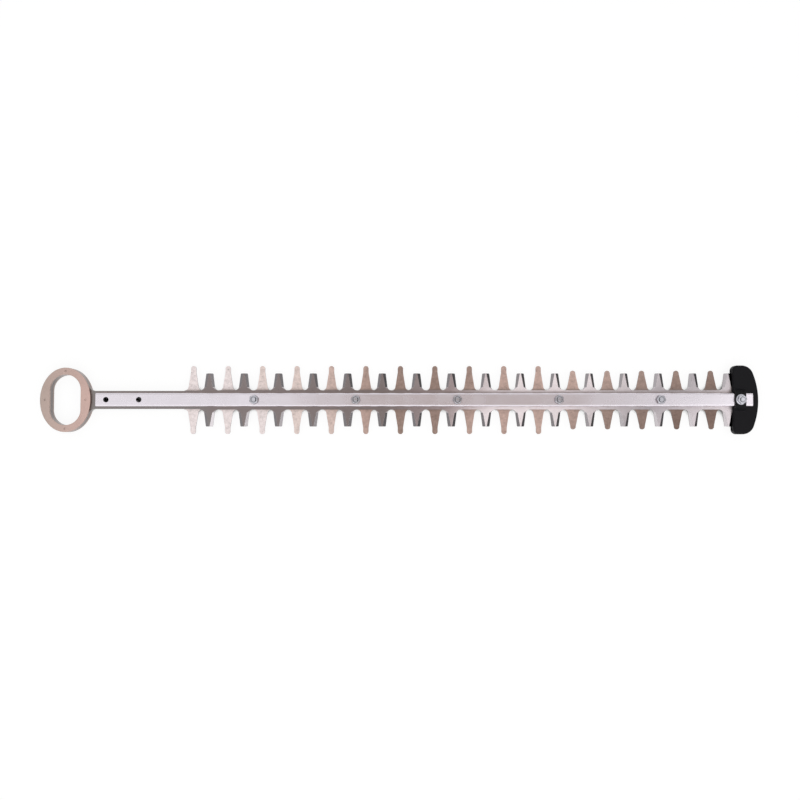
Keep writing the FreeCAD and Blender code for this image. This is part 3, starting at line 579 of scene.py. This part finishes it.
def sintered_steel(finish):
    """Pressed and sintered steel: warm, even and finely pitted, with polished edges and painted shade in
    its corners.
    """
    material, tree = new_material("Sintered_ring_steel")
    place_in = node(tree, "ShaderNodeTexCoord").outputs["Object"]
    # Pores are about 0.1 mm and are drawn at 0.7 mm so that they show.
    pores = node(tree, "ShaderNodeTexNoise", {"Vector": place_in, "Scale": per_metre(0.7), "Detail": 3
                                              }).outputs[0]
    clouds = node(tree, "ShaderNodeTexNoise", {"Vector": place_in, "Scale": per_metre(14), "Detail": 4,
                                               "Roughness": 0.6}).outputs[0]
    along = node(tree, "ShaderNodeSeparateXYZ", {0: place_in}).outputs["X"]
    near = node(tree, "ShaderNodeMapRange", {"Value": along, "From Min": RING_LOW[X],
                                             "From Max": RING_HIGH[X]}).outputs["Result"]
    temper = node(tree, "ShaderNodeMix", {
        0: near, 6: opaque(finish.ring_far), 7: opaque(finish.ring_near)}, data_type="RGBA").outputs[2]
    cloudy = node(tree, "ShaderNodeMapRange", {"Value": clouds, "To Min": 0.86}).outputs["Result"]
    body = node(tree, "ShaderNodeMix", {0: 1.0, 6: temper, 7: cloudy}, data_type="RGBA",
                blend_type="MULTIPLY").outputs[2]
    pitted = node(tree, "ShaderNodeMapRange", {"Value": pores, "From Min": 0.25, "From Max": 0.5,
                                               "To Min": 0.88, "To Max": 1.0}).outputs["Result"]
    speckled = node(tree, "ShaderNodeMix", {0: 1.0, 6: body, 7: pitted}, data_type="RGBA",
                    blend_type="MULTIPLY").outputs[2]
    # The pressed faces are worn bright; the walls are darker, partly the dark surface left by the
    # furnace and partly painted shade.
    facing = node(tree, "ShaderNodeNewGeometry").outputs["True Normal"]
    upright = node(tree, "ShaderNodeSeparateXYZ", {0: facing}).outputs["Z"]
    flat = node(tree, "ShaderNodeMath", {0: upright}, operation="ABSOLUTE").outputs[0]
    skin_and_wall_shade = node(tree, "ShaderNodeMapRange", {"Value": flat, "From Max": 0.8,
                                             "To Min": 0.58}).outputs["Result"]
    walled = node(tree, "ShaderNodeMix", {0: 1.0, 6: speckled, 7: skin_and_wall_shade}, data_type="RGBA",
                  blend_type="MULTIPLY").outputs[2]
    # Painted shade in the corners and in the dimples.
    corner = node(tree, "ShaderNodeAmbientOcclusion", {"Distance": 3 * MM}, samples=8).outputs["AO"]
    painted_shade = node(tree, "ShaderNodeMapRange", {"Value": corner, "From Min": 0.2, "From Max": 0.7,
                                             "To Min": 0.35, "To Max": 1.0}).outputs["Result"]
    with_painted_shade = node(tree, "ShaderNodeMix", {0: 1.0, 6: walled, 7: painted_shade}, data_type="RGBA",
                 blend_type="MULTIPLY").outputs[2]
    rounded = node(tree, "ShaderNodeBevel", {"Radius": 0.5 * MM}, samples=4).outputs[0]
    normal = node(tree, "ShaderNodeBump", {"Height": pores, "Strength": 0.25, "Distance": 0.06 * MM,
                                           "Normal": rounded}).outputs[0]
    shader = node(tree, "ShaderNodeBsdfPrincipled", {
        "Base Color": with_painted_shade, "Metallic": 1.0, "Roughness": 0.38, "Normal": normal})
    node(tree, "ShaderNodeOutputMaterial", {"Surface": shader.outputs[0]})
    return material


def zinc_plate(finish):
    """Cold-headed steel with bright zinc plate: bluish, glossy, cloudy where the plate is thinner."""
    material, tree = new_material("Bright_zinc_plated_steel")
    place_in = node(tree, "ShaderNodeTexCoord").outputs["Object"]
    clouds = node(tree, "ShaderNodeTexNoise", {"Vector": place_in, "Scale": per_metre(2.5), "Detail": 4
                                               }).outputs[0]
    thin = tuple(0.75 * c for c in finish.zinc)
    plate = node(tree, "ShaderNodeMix", {0: clouds, 6: opaque(thin), 7: opaque(finish.zinc)},
                 data_type="RGBA").outputs[2]
    # Painted shade in the thread and where a nut meets its bolt and the bar.
    corner = node(tree, "ShaderNodeAmbientOcclusion", {"Distance": 1.2 * MM}, samples=8).outputs["AO"]
    painted_shade = node(tree, "ShaderNodeMapRange", {"Value": corner, "From Min": 0.2, "From Max": 0.8,
                                             "To Min": 0.3, "To Max": 1.0}).outputs["Result"]
    plate_with_painted_shade = node(tree, "ShaderNodeMix", {0: 1.0, 6: plate, 7: painted_shade}, data_type="RGBA",
                 blend_type="MULTIPLY").outputs[2]
    roughness = node(tree, "ShaderNodeMapRange", {"Value": clouds, "From Min": 0.3, "From Max": 0.7,
                                                  "To Min": 0.34, "To Max": 0.16}).outputs["Result"]
    rounded = node(tree, "ShaderNodeBevel", {"Radius": 0.15 * MM}, samples=4).outputs[0]
    shader = node(tree, "ShaderNodeBsdfPrincipled", {
        "Base Color": plate_with_painted_shade, "Metallic": 1.0, "Roughness": roughness, "Normal": rounded})
    node(tree, "ShaderNodeOutputMaterial", {"Surface": shader.outputs[0]})
    return material


def moulded_nylon(finish):
    """Black nylon from a spark-eroded mould: a fine dull grain, worn smooth on its edges, with a painted
    highlight there.
    """
    material, tree = new_material("Moulded_black_nylon")
    place_in = node(tree, "ShaderNodeTexCoord").outputs["Object"]
    grain = node(tree, "ShaderNodeTexNoise", {"Vector": place_in, "Scale": per_metre(0.6), "Detail": 2
                                              }).outputs[0]
    rounded = node(tree, "ShaderNodeBevel", {"Radius": 0.7 * MM}, samples=6).outputs[0]
    facing = node(tree, "ShaderNodeNewGeometry").outputs["Normal"]
    agreement = node(tree, "ShaderNodeVectorMath", {0: rounded, 1: facing},
                     operation="DOT_PRODUCT").outputs["Value"]
    # Edges are worn smoother; their paler colour is a painted highlight.
    rubbed_and_highlit = node(tree, "ShaderNodeMapRange", {"Value": agreement, "From Min": 0.995, "From Max": 0.9
                                               }).outputs["Result"]
    pale = tuple(min(1, 4 * c) for c in finish.nylon)
    colour = node(tree, "ShaderNodeMix", {0: rubbed_and_highlit, 6: opaque(finish.nylon), 7: opaque(pale)},
                  data_type="RGBA").outputs[2]
    roughness = node(tree, "ShaderNodeMapRange", {"Value": rubbed_and_highlit, "To Min": 0.5, "To Max": 0.36
                                                  }).outputs["Result"]
    normal = node(tree, "ShaderNodeBump", {"Height": grain, "Strength": 0.3, "Distance": 0.05 * MM,
                                           "Normal": rounded}).outputs[0]
    shader = node(tree, "ShaderNodeBsdfPrincipled", {
        "Base Color": colour, "Roughness": roughness, "IOR": 1.53, "Specular IOR Level": 0.14,
        "Normal": normal})
    node(tree, "ShaderNodeOutputMaterial", {"Surface": shader.outputs[0]})
    return material


def white_floor(glow):
    """White paper that keeps the shadow and is white in the picture without more light on the part.

    The glow and the paper's white both go out where the part covers the paper, a painted shadow, so that
    it is dark under the holes.
    """
    material, tree = new_material("White_paper_floor")
    path = node(tree, "ShaderNodeLightPath")
    seen = node(tree, "ShaderNodeMath", {
        0: path.outputs["Is Camera Ray"], 1: path.outputs["Is Glossy Ray"]},
        operation="MAXIMUM").outputs[0]
    shown = node(tree, "ShaderNodeMath", {0: seen, 1: path.outputs["Is Transmission Ray"]},
                 operation="MAXIMUM").outputs[0]
    open_sky = node(tree, "ShaderNodeAmbientOcclusion", {"Distance": 20 * MM}, samples=32).outputs["AO"]
    uncovered = node(tree, "ShaderNodeMapRange", {"Value": open_sky, "From Min": 0.22, "From Max": 0.32
                                                  }).outputs["Result"]
    own = node(tree, "ShaderNodeMath", {0: uncovered, 1: glow}, operation="MULTIPLY").outputs[0]
    strength = node(tree, "ShaderNodeMath", {0: shown, 1: own}, operation="MULTIPLY").outputs[0]
    light = node(tree, "ShaderNodeEmission", {"Color": (1, 1, 1, 1), "Strength": strength}).outputs[0]
    lit = node(tree, "ShaderNodeMath", {0: uncovered, 1: FLOOR_WHITE - glow},
               operation="MULTIPLY").outputs[0]
    paper = node(tree, "ShaderNodeBsdfDiffuse", {"Color": lit}).outputs[0]
    both = node(tree, "ShaderNodeAddShader", {0: light, 1: paper}).outputs[0]
    node(tree, "ShaderNodeOutputMaterial", {"Surface": both})
    return material


def studio_card(colour):
    """Card that glows evenly, as a dim grey light, giving the steel something darker than the tent to
    show.
    """
    material, tree = new_material("Studio_card")
    paper = node(tree, "ShaderNodeEmission", {"Color": opaque(linear(colour)),
                                              "Strength": 1.0}).outputs[0]
    node(tree, "ShaderNodeOutputMaterial", {"Surface": paper})
    return material


# Operators

class TRIMMER_OT_finish_bar(bpy.types.Operator):
    """Gives the guide bar its satin nickel plate"""
    bl_idname = "trimmer.finish_bar"
    bl_label = "Finish guide bar"

    def execute(self, context):
        dress("guide_bar", satin_nickel(context.scene.trimmer_finish))
        return {"FINISHED"}


class TRIMMER_OT_finish_blades(bpy.types.Operator):
    """Gives both blades their tempered and ground steel"""
    bl_idname = "trimmer.finish_blades"
    bl_label = "Finish blades"

    def execute(self, context):
        finish = context.scene.trimmer_finish
        # Places in millimetres from the middle of the part, from the eye to the tip
        upper = oxidised((-362, finish.shank), (-215, finish.shank), (-197, finish.upper_dark),
                         (-17, finish.upper_dark), (50, finish.upper_mid))
        # The pale band is partly a painted reflection of the studio light.
        upper += [(95, finish.upper_pale, PALE_BAND_METALLIC), (165, finish.upper_pale, PALE_BAND_METALLIC)]
        upper += oxidised((259, finish.upper_dull), (335, finish.upper_tip))
        lower = oxidised((-362, finish.shank), (-262, finish.shank), (-252, finish.lower_pale),
                         (-150, finish.lower_pale), (-120, finish.lower_pink), (-98, finish.lower_pink),
                         (-48, finish.lower_straw), (-8, finish.lower_brown), (52, finish.lower_brown),
                         (85, finish.lower_straw), (165, finish.lower_straw), (220, finish.lower_brown),
                         (316, finish.lower_deep))
        dress("upper_blade", blade_steel("Ground_upper_blade_steel", upper, finish, UPPER_MOTTLE))
        dress("lower_blade", blade_steel("Tempered_lower_blade_steel", lower, finish, LOWER_MOTTLE))
        return {"FINISHED"}


class TRIMMER_OT_finish_eyes(bpy.types.Operator):
    """Gives both eye rings their sintered steel"""
    bl_idname = "trimmer.finish_eyes"
    bl_label = "Finish eye rings"

    def execute(self, context):
        steel = sintered_steel(context.scene.trimmer_finish)
        dress("upper_eye_ring", steel)
        dress("lower_eye_ring", steel)
        return {"FINISHED"}


class TRIMMER_OT_make_fasteners(bpy.types.Operator):
    """Makes the threaded bolts, chamfered nuts and rounded washers, and plates the sleeves"""
    bl_idname = "trimmer.make_fasteners"
    bl_label = "Make fasteners"

    def execute(self, context):
        sizes = context.scene.trimmer_fasteners
        zinc = zinc_plate(context.scene.trimmer_finish)
        half_flats = half_width("blade_nut_1", Y)
        bolt = bolt_mesh("hex_bolt", sizes, half_flats, 2 * half_width("blade_bolt_1", Z))
        nut = nut_mesh("hex_nut", sizes, half_flats, 2 * half_width("blade_nut_1", Z))
        washer = washer_mesh("round_washer", sizes, half_width("blade_washer_1", X),
                             2 * half_width("blade_washer_1", Z))
        for k in FASTENED_PLACES:
            place(f"hex_bolt_{k}", bolt, f"blade_bolt_{k}", zinc)
            place(f"hex_nut_{k}", nut, f"blade_nut_{k}", zinc, k * NUT_TURN)
            place(f"round_washer_{k}", washer, f"blade_washer_{k}", zinc)
            dress(f"slot_sleeve_{k}", zinc)
        tip_bolt = bolt_mesh("tip_hex_bolt", sizes, half_flats, 2 * half_width("tip_bolt", Z))
        tip_nut = nut_mesh("tip_flange_nut", sizes, half_flats, 2 * half_width("tip_nut", Z),
                           flange=half_width("tip_nut", X))
        place("tip_hex_bolt", tip_bolt, "tip_bolt", zinc)
        place("tip_flange_nut", tip_nut, "tip_nut", zinc, TIP_NUT_TURN)
        return {"FINISHED"}


class TRIMMER_OT_finish_guard(bpy.types.Operator):
    """Gives the tip guard its moulded nylon"""
    bl_idname = "trimmer.finish_guard"
    bl_label = "Finish tip guard"

    def execute(self, context):
        dress("tip_guard", moulded_nylon(context.scene.trimmer_finish))
        return {"FINISHED"}


class TRIMMER_OT_make_stage(bpy.types.Operator):
    """Sets up the floor, the studio light and the camera"""
    bl_idname = "trimmer.make_stage"
    bl_label = "Make stage"

    def execute(self, context):
        settings = context.scene.trimmer_stage
        self.make_floor(context, settings)
        self.make_cards(context, settings)
        self.make_light(context, settings)
        self.make_camera(context, settings)
        context.scene.view_settings.view_transform = "Standard"
        return {"FINISHED"}

    def add(self, context, name, data):
        """Adds an object to the scene."""
        made = bpy.data.objects.new(name, data)
        context.collection.objects.link(made)
        return made

    def make_floor(self, context, settings):
        """Makes a round floor with a low wall on its rim, so that the paper reaches past the horizon."""
        form = bmesh.new()
        bmesh.ops.create_circle(form, cap_ends=True, radius=settings.paper_radius, segments=ROUND_STEPS)
        wall = bmesh.ops.extrude_edge_only(form, edges=form.edges[:])
        for part in wall["geom"]:
            if isinstance(part, bmesh.types.BMVert):
                part.co.z += settings.paper_height
        mesh = bpy.data.meshes.new("floor")
        form.to_mesh(mesh)
        form.free()
        mesh.materials.append(white_floor(settings.floor_glow))
        floor = self.add(context, "floor", mesh)
        floor.location.z = CAD_BOX[0][Z] - FLOOR_GAP

    def make_cards(self, context, settings):
        """Hangs flags beyond both ends for the bevels to show, and cards over the camera for the bar."""
        far = settings.flag_distance
        top = settings.flag_height
        high = settings.upper_flag_height
        over = settings.card_height
        flag = rectangle((-far, 0), (far, top))
        back = rectangle((0, top), (far, high))
        front = rectangle((-far, top), (0, high))
        middle = rectangle((-0.22, -0.42), (0.5, 0.3))
        tip = rectangle((0.5, -0.3), (1.3, 0.3))
        cards = (("left_flag", "A0A0A0", [(-far, y, z) for y, z in flag]),
                 ("right_flag", "595959", [(far, y, z) for y, z in flag]),
                 ("left_back_flag", "B3B3B3", [(-far, y, z) for y, z in back]),
                 ("right_back_flag", "959595", [(far, y, z) for y, z in back]),
                 ("left_front_flag", "898989", [(-far, y, z) for y, z in front]),
                 ("camera_card", "C8BEB8", [(x, y, over) for x, y in middle]),
                 ("tip_card", "EBEBEB", [(x, y, over) for x, y in tip]))
        for name, colour, corners in cards:
            mesh = bpy.data.meshes.new(name)
            mesh.from_pydata(corners, [], [range(len(corners))])
            mesh.materials.append(studio_card(colour))
            card = self.add(context, name, mesh)
            card.visible_camera = False

    def make_light(self, context, settings):
        """Puts a white tent round the stage, and soft boxes that all face the blade's middle."""
        world = bpy.data.worlds.new("White_tent")
        context.scene.world = world
        world.use_nodes = True
        tent = world.node_tree.nodes["Background"]
        tent.inputs["Color"].default_value = (1, 1, 1, 1)
        tent.inputs["Strength"].default_value = settings.sky
        # Name, place, width, height and watts of each lamp
        lamps = (("top_box", (0.0, 0.0, 1.8), 2.4, 0.5, 0.8),
                 ("front_box", (0.0, -0.9, 1.2), 2.6, 1.0, 5.0),
                 ("left_box", (-0.85, -0.2, 1.0), 0.6, 0.3, 0.25),
                 ("right_box", (0.85, -0.2, 1.0), 0.6, 0.3, 0.7))
        for name, place_at, width, height, watts in lamps:
            data = bpy.data.lights.new(name, "AREA")
            data.shape = "RECTANGLE"
            data.size = width
            data.size_y = height
            data.energy = watts
            lamp = self.add(context, name, data)
            lamp.location = place_at
            lamp.rotation_euler = (-Vector(place_at)).to_track_quat("-Z", "Y").to_euler()

    def make_camera(self, context, settings):
        """Puts the camera over the blade, a little towards its near side."""
        data = bpy.data.cameras.new("camera")
        data.sensor_fit = "HORIZONTAL"
        data.angle = 2 * math.atan(settings.frame_width / 2 / settings.camera_distance)
        camera = self.add(context, "camera", data)
        target = Vector((settings.camera_aside, 0, BLADE_MIDDLE))
        tilt = settings.camera_tilt
        upward = Vector((0, -math.sin(tilt), math.cos(tilt)))
        camera.location = target + settings.camera_distance * upward
        camera.rotation_euler = (tilt, 0, 0)
        context.scene.camera = camera


class TRIMMER_PT_sidebar(bpy.types.Panel):
    """Lists the steps and settings in the 3D view's sidebar"""
    bl_idname = "TRIMMER_PT_sidebar"
    bl_label = "Hedge Trimmer Blade"
    bl_space_type = "VIEW_3D"
    bl_region_type = "UI"
    bl_category = "Trimmer Blade"

    def draw(self, context):
        scene = context.scene
        steps = self.layout.column(align=True)
        for step in STEPS:
            steps.operator(step.bl_idname)
        for group in (scene.trimmer_finish, scene.trimmer_fasteners, scene.trimmer_stage):
            box = self.layout.box()
            for key in group.__annotations__:
                box.prop(group, key)


GROUPS = {
    "trimmer_finish": TrimmerFinish,
    "trimmer_fasteners": TrimmerFasteners,
    "trimmer_stage": TrimmerStage,
}
STEPS = (TRIMMER_OT_make_stage, TRIMMER_OT_finish_bar, TRIMMER_OT_finish_blades, TRIMMER_OT_finish_eyes,
         TRIMMER_OT_make_fasteners, TRIMMER_OT_finish_guard)
CLASSES = (*GROUPS.values(), *STEPS, TRIMMER_PT_sidebar)


def register():
    """Makes the steps, the panel and the settings known to the program."""
    for cls in CLASSES:
        bpy.utils.register_class(cls)
    for name, group in GROUPS.items():
        setattr(bpy.types.Scene, name, PointerProperty(type=group))


def unregister():
    """Takes the settings, the panel and the steps out again."""
    for name in GROUPS:
        delattr(bpy.types.Scene, name)
    for cls in reversed(CLASSES):
        bpy.utils.unregister_class(cls)


def main():
    """Runs all steps."""
    register()
    bpy.ops.trimmer.make_stage()
    bpy.ops.trimmer.finish_bar()
    bpy.ops.trimmer.finish_blades()
    bpy.ops.trimmer.finish_eyes()
    bpy.ops.trimmer.make_fasteners()
    bpy.ops.trimmer.finish_guard()


if __name__ == "__main__":
    main()
